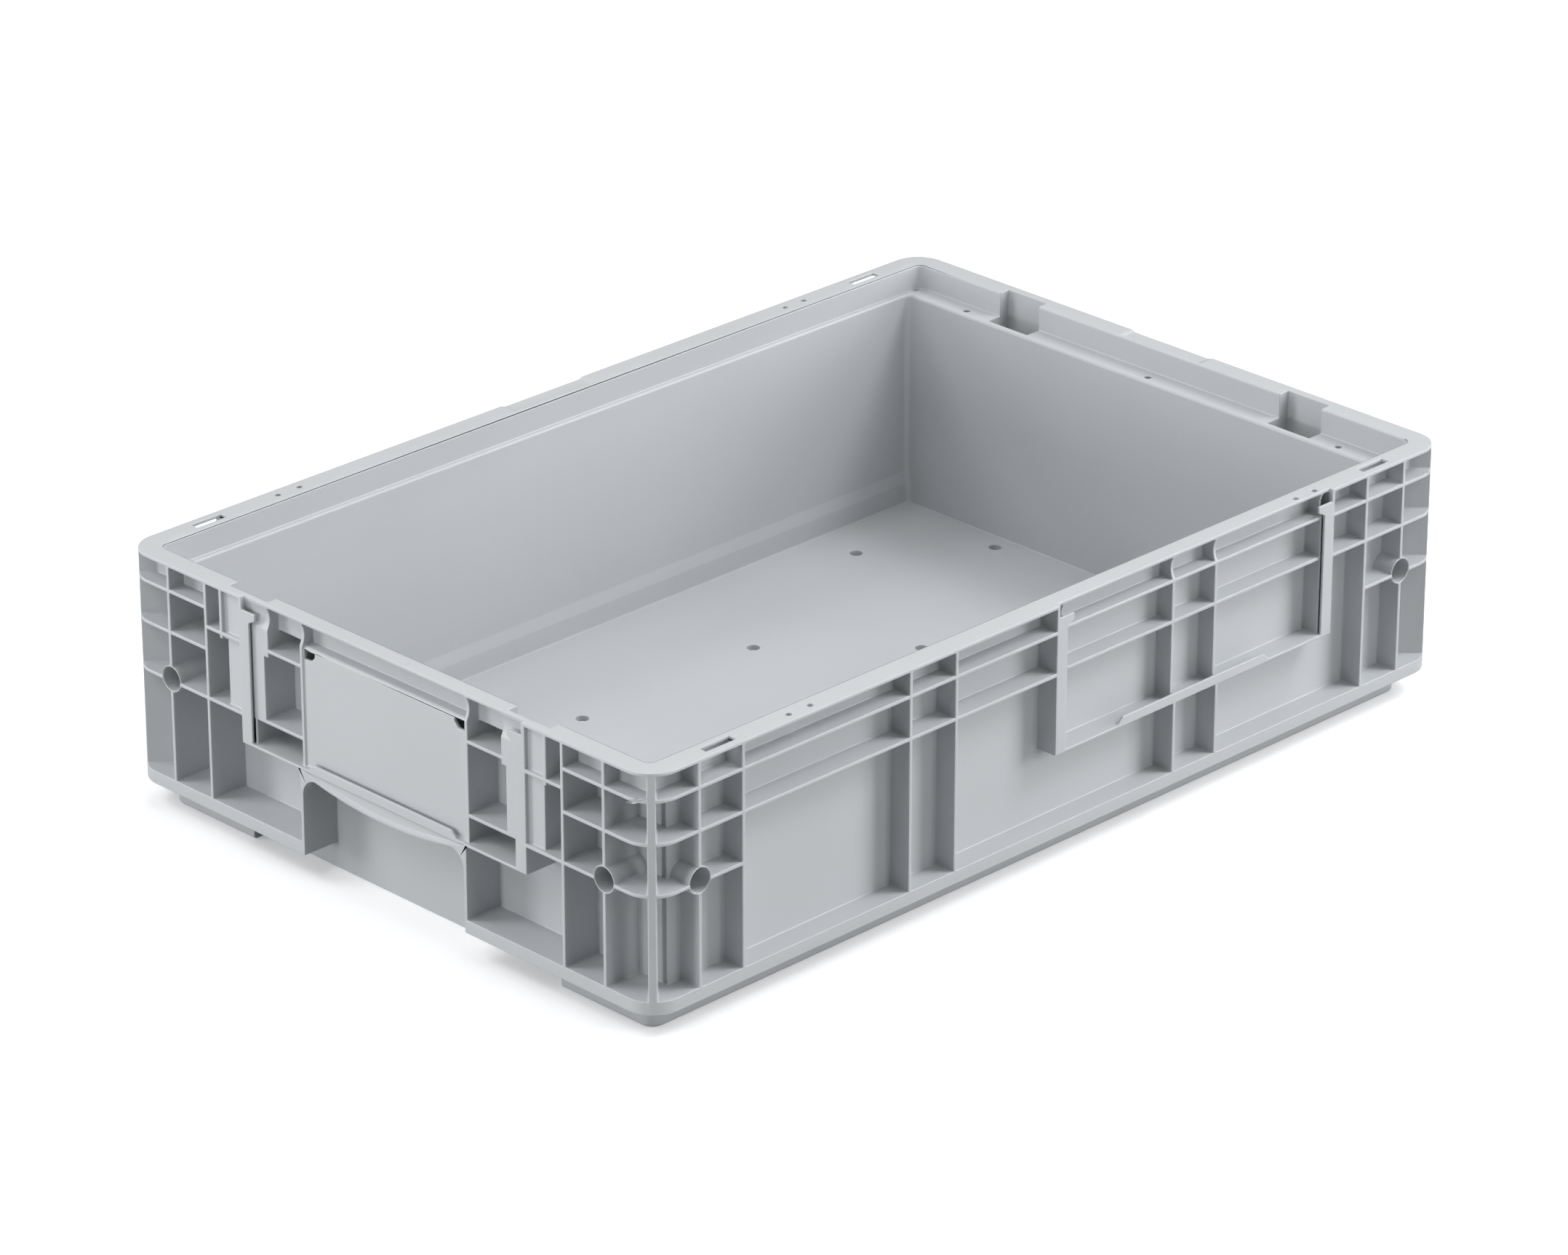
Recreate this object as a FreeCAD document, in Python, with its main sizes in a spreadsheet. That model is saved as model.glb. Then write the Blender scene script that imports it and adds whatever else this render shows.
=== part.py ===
import FreeCAD
import Part
import Sketcher
import math
import os
import re

# Small load carrier: one open box moulded in a single shot.
# Origin at the middle of the underside, X along the box, Y across it, Z up. Millimetres.
# The near sides, at low X and low Y, carry the card holders; the far sides are plain.

SIZES = {
    # Whole box
    "box_length": 594.0,
    "box_width": 396.0,
    "box_height": 147.5,
    "corner_radius": 17.0,
    # Room inside: how far in its walls stand, and how far down its ledge is
    "end_inset": 25.0,
    "side_inset": 16.0,
    "inner_radius": 3.0,
    "floor_thickness": 3.5,
    "long_wall": 2.5,
    "short_wall": 2.0,
    "ledge_drop": 14.5,
    "ledge_chamfer": 1.2,
    # Sloped step low on the long walls
    "slope_inset": 1.5,
    "slope_low": 15.5,
    "slope_high": 22.7,
    # Wider mouth above the ledge, and the flange round it
    "mouth_end_inset": 12.5,
    "mouth_side_inset": 14.0,
    "mouth_radius": 4.0,
    "mouth_wall": 2.0,
    "flange_thickness": 2.0,
    "flange_chamfer": 0.7,
    # Foot that nests in the mouth of the box below
    "foot_end_inset": 13.5,
    "foot_side_inset": 14.6,
    "foot_height": 15.1,
    "foot_radius": 8.0,
    "foot_chamfer": 1.2,
    "foot_gap": 235.0,
    # Skirt above the foot, cored from below
    "skirt_height": 7.55,
    "skirt_wall": 2.5,
    "shelf_thickness": 2.0,
    "core_wall": 2.5,
    # Ribs
    "rib_thickness": 2.05,
    "corner_rib_inset": 8.0,
    "column_rib_inset": 38.1,
    "outer_pair_place": 115.95,
    "inner_pair_place": 82.8,
    "end_boss_inset": 17.95,
    "end_rib_inset": 47.5,
    "middle_shelf_drop": 40.0,
    "lower_shelf_drop": 68.1,
    "web_thickness": 4.4,
    # Round sockets at the corners
    "socket_diameter": 15.1,
    "socket_bore": 13.4,
    "socket_drop": 65.9,
    # Hand grips in the middle of the short sides
    "grip_width": 122.4,
    "grip_rib": 2.1,
    "arch_drop": 9.2,
    "arch_radius": 262.0,
    "arch_corner_width": 104.0,
    "arch_corner_drop": 9.7,
    "arch_corner_radius": 10.5,
    "bead_height": 2.3,
    "apron_inset": 1.2,
    "apron_width": 120.0,
    "rail_thickness": 1.6,
    "panel_inset": 3.5,
    "panel_thickness": 2.0,
    "panel_round": 2.3,
    # Holes at the top corners of the grip panels
    "vent_inner": 52.8,
    "vent_outer": 60.5,
    "vent_drop": 16.3,
    "vent_height": 5.2,
    "vent_slant": 3.0,
    # Deep pockets in the short sides for a lifting gripper
    "pocket_near": 90.7,
    "pocket_far": 120.7,
    "pocket_lower_near": 94.0,
    "pocket_lower_far": 117.0,
    "pocket_front_inset": 5.5,
    "pocket_back_inset": 22.0,
    "pocket_step_drop": 29.8,
    "pocket_wall": 2.6,
    "pocket_edge_drop": 29.0,
    "cross_rib_drop": 27.2,
    # Card holders on the near sides
    "card_inset": 2.5,
    "plate_thickness": 1.5,
    "post_width": 7.9,
    "post_drop": 7.3,
    "side_post_rib": 2.05,
    "end_post_rib": 2.6,
    "keeper_thickness": 1.5,
    "keeper_overhang": 0.3,
    "hook_reach": 4.9,
    "hook_drop": 11.0,
    "hook_root_drop": 13.5,
    "side_card_gap": 34.6,
    "side_card_width": 200.1,
    "side_rail_drop": 84.9,
    "side_lip_shift": 0.95,
    "side_lip_height": 3.9,
    "side_lip_width": 110.6,
    "end_card_width": 200.2,
    "end_rail_drop": 83.5,
    "end_lip_height": 3.9,
    "end_lip_width": 105.0,
    "finger_scoop": 1.8,
    # Shallow notch with sloped ends in the top of the flange on the far sides
    "notch_width": 60.5,
    "notch_slope": 2.3,
    "notch_depth": 1.0,
    "notch_reach": 10.5,
    # Drain holes in one quarter of the floor, from the middle or in from a wall
    "drain_diameter": 7.3,
    "first_drain_along": 65.2,
    "first_drain_across": 99.0,
    "second_drain_along": 131.3,
    "second_drain_across": 33.0,
    "third_drain_from_end": 74.3,
    "third_drain_from_side": 32.4,
    "fourth_drain_from_end": 11.6,
    "fourth_drain_from_side": 83.0,
    # Holes in the ledge and the flange
    "ledge_hole_diameter": 4.0,
    "ledge_hole_inset": 5.3,
    "ledge_hole_from_side": 42.0,
    "slot_length": 20.5,
    "slot_width": 5.1,
    "slot_from_end": 51.8,
    "slot_inset": 6.8,
    "pin_hole_diameter": 3.6,
    "outer_pin_hole_from_end": 100.0,
    "inner_pin_hole_from_end": 115.0,
    "pin_hole_inset": 6.2,
    # How far a cut runs on past the face that it opens
    "overcut": 1.0,
}

NODE = "carrier_box"
NEAR, FAR = -1, 1
BOTH = (NEAR, FAR)
# Points nearer than this count as the same
CLOSE = 0.01

# Places that follow from the sizes
HALF_LENGTH = "box_length / 2"
HALF_WIDTH = "box_width / 2"
INNER_X = f"({HALF_LENGTH} - end_inset)"
INNER_Y = f"({HALF_WIDTH} - side_inset)"
MOUTH_X = f"({HALF_LENGTH} - mouth_end_inset)"
MOUTH_Y = f"({HALF_WIDTH} - mouth_side_inset)"
FOOT_X = f"({HALF_LENGTH} - foot_end_inset)"
FOOT_Y = f"({HALF_WIDTH} - foot_side_inset)"
SIDE_PANEL = f"({INNER_Y} + long_wall)"
END_PANEL = f"({INNER_X} + short_wall)"
SIDE_CORE = f"({INNER_Y} + long_wall / 2)"
END_CORE = f"({INNER_X} + short_wall / 2)"
END_MOUTH = f"({MOUTH_X} + mouth_wall)"
SKIRT_TOP = "(foot_height + skirt_height)"
SKIRT_UNDER = "(foot_height + skirt_height - shelf_thickness)"
LEDGE = "(box_height - ledge_drop)"
LEDGE_UNDER = "(box_height - ledge_drop - shelf_thickness)"
FLANGE_UNDER = "(box_height - flange_thickness)"
MIDDLE_SHELF = "(box_height - middle_shelf_drop)"
LOWER_SHELF = "(box_height - lower_shelf_drop)"
POCKET_STEP = "(box_height - pocket_step_drop)"
CORNER_RIB = f"({INNER_X} - corner_rib_inset)"
COLUMN_RIB = f"({INNER_X} - column_rib_inset)"
END_SOCKET = f"({INNER_Y} - end_boss_inset)"
END_RIB = f"({INNER_Y} - end_rib_inset)"
GRIP_HALF = "grip_width / 2"
GRIP_OPEN = "(foot_height - overcut)"
GRIP_SIDE = "(grip_width / 2 + grip_rib)"
POST_TOP = "(box_height - post_drop)"
SIDE_CARD_HIGH = f"({COLUMN_RIB} - side_card_gap)"
SIDE_CARD_LOW = f"({SIDE_CARD_HIGH} - side_card_width)"
END_CARD = "(end_card_width / 2)"
END_POST = "(end_card_width / 2 + post_width)"
SIDE_RAIL = "(box_height - side_rail_drop)"
SIDE_RAIL_TOP = f"({SIDE_RAIL} + rail_thickness)"
END_RAIL = "(box_height - end_rail_drop)"
END_RAIL_TOP = f"({END_RAIL} + rail_thickness)"
HOLDER_FRONT = f"({HALF_LENGTH} - card_inset)"
PAST_TOP = "(box_height + overcut)"

doc = FreeCAD.newDocument("small_load_carrier")
solids, voids = [], []


def write_sheet():
    """Put every driving size on the sheet under its own alias."""
    sizes = doc.addObject("Spreadsheet::Sheet", "Sizes")
    for row, (alias, value) in enumerate(SIZES.items(), start=1):
        sizes.set(f"A{row}", alias)
        sizes.set(f"B{row}", str(value))
        sizes.setAlias(f"B{row}", alias)
    doc.recompute()
    return sizes


sheet = write_sheet()


def sized(expression):
    """Point each alias in an expression at the sheet."""
    return re.sub(r"\b([a-z][a-z_]+)\b(?!\()", r"Sizes.\1", str(expression))


def number(expression):
    return float(sheet.evalExpression(sized(expression)))


def new_sketch(name, turn, axis, offset):
    """A sketch turned to face a side of the box and moved along one axis."""
    sketch = doc.addObject("Sketcher::SketchObject", name)
    sketch.Placement = FreeCAD.Placement(FreeCAD.Vector(), turn)
    sketch.setExpression(f"Placement.Base.{axis}", sized(offset))
    return sketch


def plan(name, level):
    """A sketch seen from above, X to the right and Y up the page."""
    return new_sketch(name, FreeCAD.Rotation(), "z", level)


def end_view(name, end, inset="0"):
    """A sketch on a short side, Y to the right and Z up, a distance in from its face."""
    return new_sketch(name, FreeCAD.Rotation(0.5, 0.5, 0.5, 0.5), "x", f"{end} * ({HALF_LENGTH} - {inset})")


def side_view(name, side, inset="0"):
    """A sketch on a long side, X to the right and Z up, a distance in from its face."""
    turn = FreeCAD.Rotation(FreeCAD.Vector(1, 0, 0), 90)
    return new_sketch(name, turn, "y", f"{side} * ({HALF_WIDTH} - {inset})")


def hold(sketch, places):
    """Tie sketch points to sized coordinates. Each place is kind, edge, end, expression."""
    dimensions = []
    for kind, edge, end, expression in places:
        value = number(expression)
        if kind == "Radius":
            dimensions.append(Sketcher.Constraint(kind, edge, value))
        else:
            dimensions.append(Sketcher.Constraint(kind, edge, end, value))
    for index, place in zip(sketch.addConstraint(dimensions), places):
        sketch.setExpression(f"Constraints[{index}]", sized(place[3]))


def join_loop(sketch, edges):
    """Join edges end to start all the way round."""
    count = len(edges)
    joints = []
    for index in range(count):
        joints.append(Sketcher.Constraint("Coincident", edges[index], 2, edges[(index + 1) % count], 1))
    sketch.addConstraint(joints)


def rectangle(sketch, left, right, low, high):
    x_left, x_right = number(left), number(right)
    y_low, y_high = number(low), number(high)
    corners = [(x_left, y_low), (x_right, y_low), (x_right, y_high), (x_left, y_high)]
    points = [FreeCAD.Vector(x, y, 0) for x, y in corners]
    lines = [Part.LineSegment(a, b) for a, b in zip(points, points[1:] + points[:1])]
    edges = sketch.addGeometry(lines, False)
    join_loop(sketch, edges)
    sketch.addConstraint([
        Sketcher.Constraint("Horizontal", edges[0]),
        Sketcher.Constraint("Vertical", edges[1]),
        Sketcher.Constraint("Horizontal", edges[2]),
        Sketcher.Constraint("Vertical", edges[3]),
    ])
    hold(sketch, [
        ("DistanceX", edges[0], 1, left),
        ("DistanceY", edges[0], 1, low),
        ("DistanceX", edges[2], 1, right),
        ("DistanceY", edges[2], 1, high),
    ])


def polygon(sketch, corners):
    """A closed outline of straight edges through sized corners."""
    points = [FreeCAD.Vector(number(x), number(y), 0) for x, y in corners]
    lines = [Part.LineSegment(a, b) for a, b in zip(points, points[1:] + points[:1])]
    edges = sketch.addGeometry(lines, False)
    join_loop(sketch, edges)
    places = []
    for edge, (x, y) in zip(edges, corners):
        places.append(("DistanceX", edge, 1, x))
        places.append(("DistanceY", edge, 1, y))
    hold(sketch, places)


def circle(sketch, x, y, diameter):
    centre = FreeCAD.Vector(number(x), number(y), 0)
    ring = Part.Circle(centre, FreeCAD.Vector(0, 0, 1), number(diameter) / 2)
    edge = sketch.addGeometry(ring, False)
    hold(sketch, [
        ("DistanceX", edge, 3, x),
        ("DistanceY", edge, 3, y),
        ("Radius", edge, 0, f"({diameter}) / 2"),
    ])


def rounded_rectangle(sketch, half_length, half_width, radius):
    """A rectangle about the origin, given by its half sizes, with four equal round corners."""
    half_x, half_y, bend = number(half_length), number(half_width), number(radius)
    turns = [(half_x - bend, half_y - bend), (bend - half_x, half_y - bend),
             (bend - half_x, bend - half_y), (half_x - bend, bend - half_y)]
    arcs = []
    for quarter, (x, y) in enumerate(turns):
        ring = Part.Circle(FreeCAD.Vector(x, y, 0), FreeCAD.Vector(0, 0, 1), bend)
        arcs.append(Part.ArcOfCircle(ring, quarter * math.pi / 2, (quarter + 1) * math.pi / 2))
    edges = []
    for quarter in range(4):
        edges.append(sketch.addGeometry(arcs[quarter], False))
        next_start = arcs[(quarter + 1) % 4].StartPoint
        edges.append(sketch.addGeometry(Part.LineSegment(arcs[quarter].EndPoint, next_start), False))
    joints = []
    for index in range(8):
        joints.append(Sketcher.Constraint("Tangent", edges[index], 2, edges[(index + 1) % 8], 1))
    joints.append(Sketcher.Constraint("Horizontal", edges[1]))
    joints.append(Sketcher.Constraint("Vertical", edges[3]))
    joints.append(Sketcher.Constraint("Horizontal", edges[5]))
    joints.append(Sketcher.Constraint("Vertical", edges[7]))
    sketch.addConstraint(joints)
    hold(sketch, [
        ("DistanceY", edges[1], 1, half_width),
        ("DistanceX", edges[3], 1, f"-({half_length})"),
        ("DistanceY", edges[5], 1, f"-({half_width})"),
        ("DistanceX", edges[7], 1, half_length),
        ("Radius", edges[0], 0, radius),
        ("Radius", edges[2], 0, radius),
        ("Radius", edges[4], 0, radius),
        ("Radius", edges[6], 0, radius),
    ])


def curved_outline(sketch, corners, bends):
    """A closed outline through corners. bends maps an edge to its radius.

    A radius above nought bulges to the right of the way round, one below it to the left.
    """
    points = [FreeCAD.Vector(number(x), number(y), 0) for x, y in corners]
    count = len(points)
    edges, swapped = [], []
    for index in range(count):
        start, end = points[index], points[(index + 1) % count]
        if index not in bends:
            edges.append(sketch.addGeometry(Part.LineSegment(start, end), False))
            swapped.append(False)
            continue
        radius, bulge_right = bends[index]
        chord = end.sub(start)
        to_left = FreeCAD.Vector(-chord.y, chord.x, 0).normalize()
        rise = math.sqrt(number(radius) ** 2 - (chord.Length / 2) ** 2)
        middle = start.add(end).multiply(0.5)
        centre = middle.add(to_left * (rise if bulge_right else -rise))
        ring = Part.Circle(centre, FreeCAD.Vector(0, 0, 1), number(radius))
        first, last = (start, end) if bulge_right else (end, start)
        angles = [math.atan2(p.y - centre.y, p.x - centre.x) for p in (first, last)]
        if angles[1] < angles[0]:
            angles[1] += 2 * math.pi
        edges.append(sketch.addGeometry(Part.ArcOfCircle(ring, angles[0], angles[1]), False))
        swapped.append(not bulge_right)
    joints, places = [], []
    for index in range(count):
        following = (index + 1) % count
        leave = 1 if swapped[index] else 2
        enter = 2 if swapped[following] else 1
        joints.append(Sketcher.Constraint("Coincident", edges[index], leave, edges[following], enter))
        begin = 2 if swapped[index] else 1
        places.append(("DistanceX", edges[index], begin, corners[index][0]))
        places.append(("DistanceY", edges[index], begin, corners[index][1]))
        if index in bends:
            places.append(("Radius", edges[index], 0, bends[index][0]))
    sketch.addConstraint(joints)
    hold(sketch, places)


def extrude(sketch, length, reverse=False):
    """A solid from a sketch, along its normal unless reversed."""
    solid = doc.addObject("Part::Extrusion", sketch.Name + "_solid")
    solid.Base = sketch
    solid.DirMode = "Normal"
    solid.Solid = True
    solid.Reversed = reverse
    solid.setExpression("LengthFwd", sized(length))
    return solid


def add(sketch, length, reverse=False):
    solids.append(extrude(sketch, length, reverse))


def take(sketch, length, reverse=False):
    voids.append(extrude(sketch, length, reverse))


def join(name, pieces):
    whole = doc.addObject("Part::MultiFuse", name)
    whole.Shapes = pieces
    whole.Refine = False
    return whole


def subtract(name, base, tool):
    rest = doc.addObject("Part::Cut", name)
    rest.Base = base
    rest.Tool = tool
    rest.Refine = False
    return rest


def ease_edges(name, base, rings):
    """Chamfer rings of edges. Each ring has its level, its half sizes and its width."""
    doc.recompute()
    chosen = []
    for level, half_x, half_y, width in rings:
        for index, edge in enumerate(base.Shape.Edges, start=1):
            if lies_in_ring(edge.BoundBox, number(level), number(half_x), number(half_y)):
                chosen.append((index, number(width), number(width)))
    eased = doc.addObject("Part::Chamfer", name)
    eased.Base = base
    eased.Edges = chosen
    return eased


def lies_in_ring(box, level, half_x, half_y):
    """Whether an edge lies flat at a level, no further out than the half sizes."""
    flat = abs(box.ZMin - level) < CLOSE and abs(box.ZMax - level) < CLOSE
    out_x = max(box.XMax, -box.XMin) - half_x
    out_y = max(box.YMax, -box.YMin) - half_y
    return flat and out_x < CLOSE and out_y < CLOSE


def end_bar(sketch, end, low, high, front=HALF_LENGTH):
    """A bar out from a short wall to a front, between two places across the box."""
    rectangle(sketch, f"{end} * {END_CORE}", f"{end} * {front}", low, high)


def side_bar(sketch, side, low, high, front=HALF_WIDTH):
    """A bar out from a long wall to a front, between two places along the box."""
    rectangle(sketch, low, high, f"{side} * {SIDE_CORE}", f"{side} * {front}")


def stepped_bar(sketch, end, half, near, step, far):
    """A bar across a short wall, held back to the card holder's depth up to a step."""
    polygon(sketch, [
        (f"{end} * {END_CORE}", f"{half} * {near}"),
        (f"{end} * {HOLDER_FRONT}", f"{half} * {near}"),
        (f"{end} * {HOLDER_FRONT}", f"{half} * {step}"),
        (f"{end} * {HALF_LENGTH}", f"{half} * {step}"),
        (f"{end} * {HALF_LENGTH}", f"{half} * {far}"),
        (f"{end} * {END_CORE}", f"{half} * {far}"),
    ])


def build_foot():
    outline = plan("foot_outline", "0")
    rounded_rectangle(outline, FOOT_X, FOOT_Y, "foot_radius")
    foot = extrude(outline, "foot_height")
    eased = ease_edges("foot_eased", foot, [("0", FOOT_X, FOOT_Y, "foot_chamfer")])
    gaps = plan("foot_gaps", "0")
    for end in BOTH:
        rectangle(gaps, f"{end} * {END_PANEL}", f"{end} * {HALF_LENGTH}", "-foot_gap / 2", "foot_gap / 2")
    solids.append(subtract("foot", eased, extrude(gaps, "foot_height")))


def build_shelves():
    """Thin plates round the box, cut back where the sides have none."""
    plates = []
    for name, level in (("lower_shelf", LOWER_SHELF), ("middle_shelf", MIDDLE_SHELF), ("ledge", LEDGE_UNDER)):
        outline = plan(name + "_outline", level)
        rounded_rectangle(outline, HALF_LENGTH, HALF_WIDTH, "corner_radius")
        plates.append(extrude(outline, "shelf_thickness"))
    ends = plan("end_shelf_gaps", LOWER_SHELF)
    crown = plan("end_ledge_gaps", LEDGE_UNDER)
    for end in BOTH:
        rectangle(ends, f"{end} * {END_CORE}", f"{end} * {HALF_LENGTH}", f"-{END_RIB}", END_RIB)
        rectangle(crown, f"{end} * {END_MOUTH}", f"{end} * {HALF_LENGTH}", f"-{END_RIB}", END_RIB)
    sides = plan("side_shelf_gaps", LOWER_SHELF)
    for side in BOTH:
        rectangle(sides, f"-{COLUMN_RIB}", COLUMN_RIB, f"{side} * {SIDE_CORE}", f"{side} * {HALF_WIDTH}")
    gaps = join("shelf_gaps", [
        extrude(ends, f"{LEDGE_UNDER} - {LOWER_SHELF}"),
        extrude(crown, "shelf_thickness"),
        extrude(sides, "shelf_thickness"),
    ])
    solids.append(subtract("shelves", join("full_shelves", plates), gaps))


def build_walls():
    """The walls, the wider mouth, the flange and the skirt, still solid in the middle."""
    for name, level, height in (("skirt", "foot_height", "skirt_height"),
                                ("flange", FLANGE_UNDER, "flange_thickness")):
        outline = plan(name + "_outline", level)
        rounded_rectangle(outline, HALF_LENGTH, HALF_WIDTH, "corner_radius")
        add(outline, height)
    walls = plan("walls_outline", SKIRT_TOP)
    rectangle(walls, f"-{END_PANEL}", END_PANEL, f"-{SIDE_PANEL}", SIDE_PANEL)
    add(walls, f"{LEDGE} - {SKIRT_TOP}")
    side_mouth = f"({MOUTH_Y} + mouth_wall)"
    mouth = plan("mouth_outline", LEDGE_UNDER)
    rectangle(mouth, f"-{END_MOUTH}", END_MOUTH, f"-{side_mouth}", side_mouth)
    add(mouth, f"box_height - {LEDGE_UNDER}")


def build_ribs():
    """Upright ribs on all four sides and the slanted web that ends in each round corner."""
    places = [CORNER_RIB, COLUMN_RIB, "outer_pair_place", "inner_pair_place"]
    sides = plan("side_rib_plan", SKIRT_TOP)
    ends = plan("end_rib_plan", SKIRT_TOP)
    for side in BOTH:
        for half in BOTH:
            for place in places:
                side_bar(sides, side, f"{half} * {place} - rib_thickness / 2",
                         f"{half} * {place} + rib_thickness / 2")
            for place in (END_SOCKET, END_RIB):
                end_bar(ends, side, f"{half} * {place} - rib_thickness / 2",
                        f"{half} * {place} + rib_thickness / 2")
    webs = plan("web_plan", SKIRT_TOP)
    shift = "web_thickness / 2 * sqrt(0.5)"
    reach = "sqrt(corner_radius ^ 2 - (web_thickness / 2) ^ 2) * sqrt(0.5)"
    tip_x = f"({HALF_LENGTH} - corner_radius + {reach})"
    tip_y = f"({HALF_WIDTH} - corner_radius + {reach})"
    run = f"({HALF_WIDTH} - corner_radius + {reach} - {INNER_Y})"
    for end in BOTH:
        for side in BOTH:
            curved_outline(webs, [
                (f"{end} * ({tip_x} - {shift})", f"{side} * ({tip_y} + {shift})"),
                (f"{end} * ({tip_x} - {run} - {shift})", f"{side} * ({tip_y} - {run} + {shift})"),
                (f"{end} * ({tip_x} - {run} + {shift})", f"{side} * ({tip_y} - {run} - {shift})"),
                (f"{end} * ({tip_x} + {shift})", f"{side} * ({tip_y} - {shift})"),
            ], {3: ("corner_radius", end == side)})
    for sketch in (sides, ends, webs):
        add(sketch, f"{FLANGE_UNDER} - {SKIRT_TOP}")


def build_sockets():
    """Round sockets on the outermost rib of every side."""
    side_depth = f"{HALF_WIDTH} - {SIDE_PANEL}"
    end_depth = f"{HALF_LENGTH} - {END_PANEL}"
    for face in BOTH:
        for diameter, work, kind in (("socket_diameter", add, "ring"), ("socket_bore", take, "bore")):
            side = side_view(f"side_socket_{kind}_{face + 1}", face)
            end = end_view(f"end_socket_{kind}_{face + 1}", face)
            for half in BOTH:
                circle(side, f"{half} * {CORNER_RIB}", "box_height - socket_drop", diameter)
                circle(end, f"{half} * {END_SOCKET}", "box_height - socket_drop", diameter)
            work(side, side_depth, face == NEAR)
            work(end, end_depth, face == FAR)


def build_grips():
    """The stiff middle of each short side, still solid, and the rails beside it."""
    low = plan("grip_block_plan", SKIRT_TOP)
    upper = plan("grip_crown_plan", END_RAIL_TOP)
    rails = plan("end_rail_plan", END_RAIL)
    for end in BOTH:
        end_bar(low, end, f"-{GRIP_SIDE}", GRIP_SIDE)
        end_bar(upper, end, f"-{GRIP_SIDE}", GRIP_SIDE, HOLDER_FRONT)
        end_bar(rails, end, f"-{END_POST}", END_POST)
    add(low, f"{END_RAIL_TOP} - {SKIRT_TOP}")
    add(upper, f"{FLANGE_UNDER} - {END_RAIL_TOP}")
    add(rails, "rail_thickness")


def build_pocket_boxes():
    """Boxes of the gripper pockets, still solid, with the plates that tie them in."""
    struts = plan("end_strut_plan", END_RAIL_TOP)
    floors = plan("pocket_floor_plan", LOWER_SHELF)
    cross = plan("cross_rib_plan", "box_height - cross_rib_drop")
    lower = plan("pocket_lower_plan", LOWER_SHELF)
    wide = plan("pocket_upper_plan", POCKET_STEP)
    edge = plan("pocket_edge_plan", "box_height - pocket_edge_drop")
    for end in BOTH:
        for half in BOTH:
            end_bar(struts, end, f"{half} * ({END_CARD} - keeper_thickness)",
                    f"{half} * {END_CARD}", HOLDER_FRONT)
            stepped_bar(floors, end, half, GRIP_HALF, END_POST, END_RIB)
            stepped_bar(cross, end, half, GRIP_HALF, END_POST, END_RIB)
            end_bar(lower, end, f"{half} * (pocket_lower_near - pocket_wall)",
                    f"{half} * (pocket_lower_far + pocket_wall)", HOLDER_FRONT)
            end_bar(wide, end, f"{half} * (pocket_near - pocket_wall)",
                    f"{half} * (pocket_far + pocket_wall)", HOLDER_FRONT)
            end_bar(edge, end, f"{half} * (pocket_far + pocket_wall - rib_thickness)",
                    f"{half} * (pocket_far + pocket_wall)")
    add(struts, f"{LOWER_SHELF} - {END_RAIL_TOP}")
    add(floors, "shelf_thickness")
    add(cross, "shelf_thickness")
    add(lower, f"{POCKET_STEP} - {LOWER_SHELF}")
    add(wide, f"{FLANGE_UNDER} - {POCKET_STEP}")
    add(edge, "pocket_edge_drop - flange_thickness")


def build_card_holders():
    """Posts, rails and lips on the near sides. The windows are cut from plates."""
    side_low = f"({SIDE_CARD_LOW} - post_width)"
    side_high = f"({SIDE_CARD_HIGH} + post_width)"
    rail = plan("side_rail_plan", SIDE_RAIL)
    side_bar(rail, NEAR, side_low, side_high)
    add(rail, "rail_thickness")
    keeper_low = f"({SIDE_CARD_LOW} + keeper_overhang)"
    keeper_high = f"({SIDE_CARD_HIGH} - keeper_overhang)"
    posts = plan("side_post_plan", SIDE_RAIL)
    side_bar(posts, NEAR, side_low, f"{side_low} + side_post_rib")
    side_bar(posts, NEAR, f"{side_high} - side_post_rib", side_high)
    side_bar(posts, NEAR, f"{keeper_low} - keeper_thickness", keeper_low)
    side_bar(posts, NEAR, keeper_high, f"{keeper_high} + keeper_thickness")
    add(posts, f"{FLANGE_UNDER} - {SIDE_RAIL}")
    ends = plan("end_post_plan", END_RAIL)
    for half in BOTH:
        end_bar(ends, NEAR, f"{half} * ({END_POST} - end_post_rib)", f"{half} * {END_POST}")
    add(ends, f"{FLANGE_UNDER} - {END_RAIL}")
    side_plate = side_view("side_plate", NEAR)
    rectangle(side_plate, side_low, side_high, SIDE_RAIL, POST_TOP)
    add(side_plate, "plate_thickness", True)
    end_plate = end_view("end_plate", NEAR)
    rectangle(end_plate, f"-{END_POST}", END_POST, END_RAIL, POST_TOP)
    add(end_plate, "plate_thickness")


def window(sketch, low, high, inner_rib_low, inner_rib_high, rail, lip):
    """Outline of a card window: hooked posts at its sides and a lip on its rail."""
    lip_low, lip_high, lip_height = lip
    root, hook = "box_height - hook_root_drop", "box_height - hook_drop"
    polygon(sketch, [
        (low, rail),
        (f"{lip_low} - {lip_height}", rail),
        (lip_low, f"{rail} + {lip_height}"),
        (lip_high, f"{rail} + {lip_height}"),
        (f"{lip_high} + {lip_height}", rail),
        (high, rail),
        (high, root),
        (f"{high} - hook_reach", hook),
        (f"{high} - hook_reach", POST_TOP),
        (inner_rib_high, POST_TOP),
        (inner_rib_high, PAST_TOP),
        (inner_rib_low, PAST_TOP),
        (inner_rib_low, POST_TOP),
        (f"{low} + hook_reach", POST_TOP),
        (f"{low} + hook_reach", hook),
        (low, root),
    ])


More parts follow.
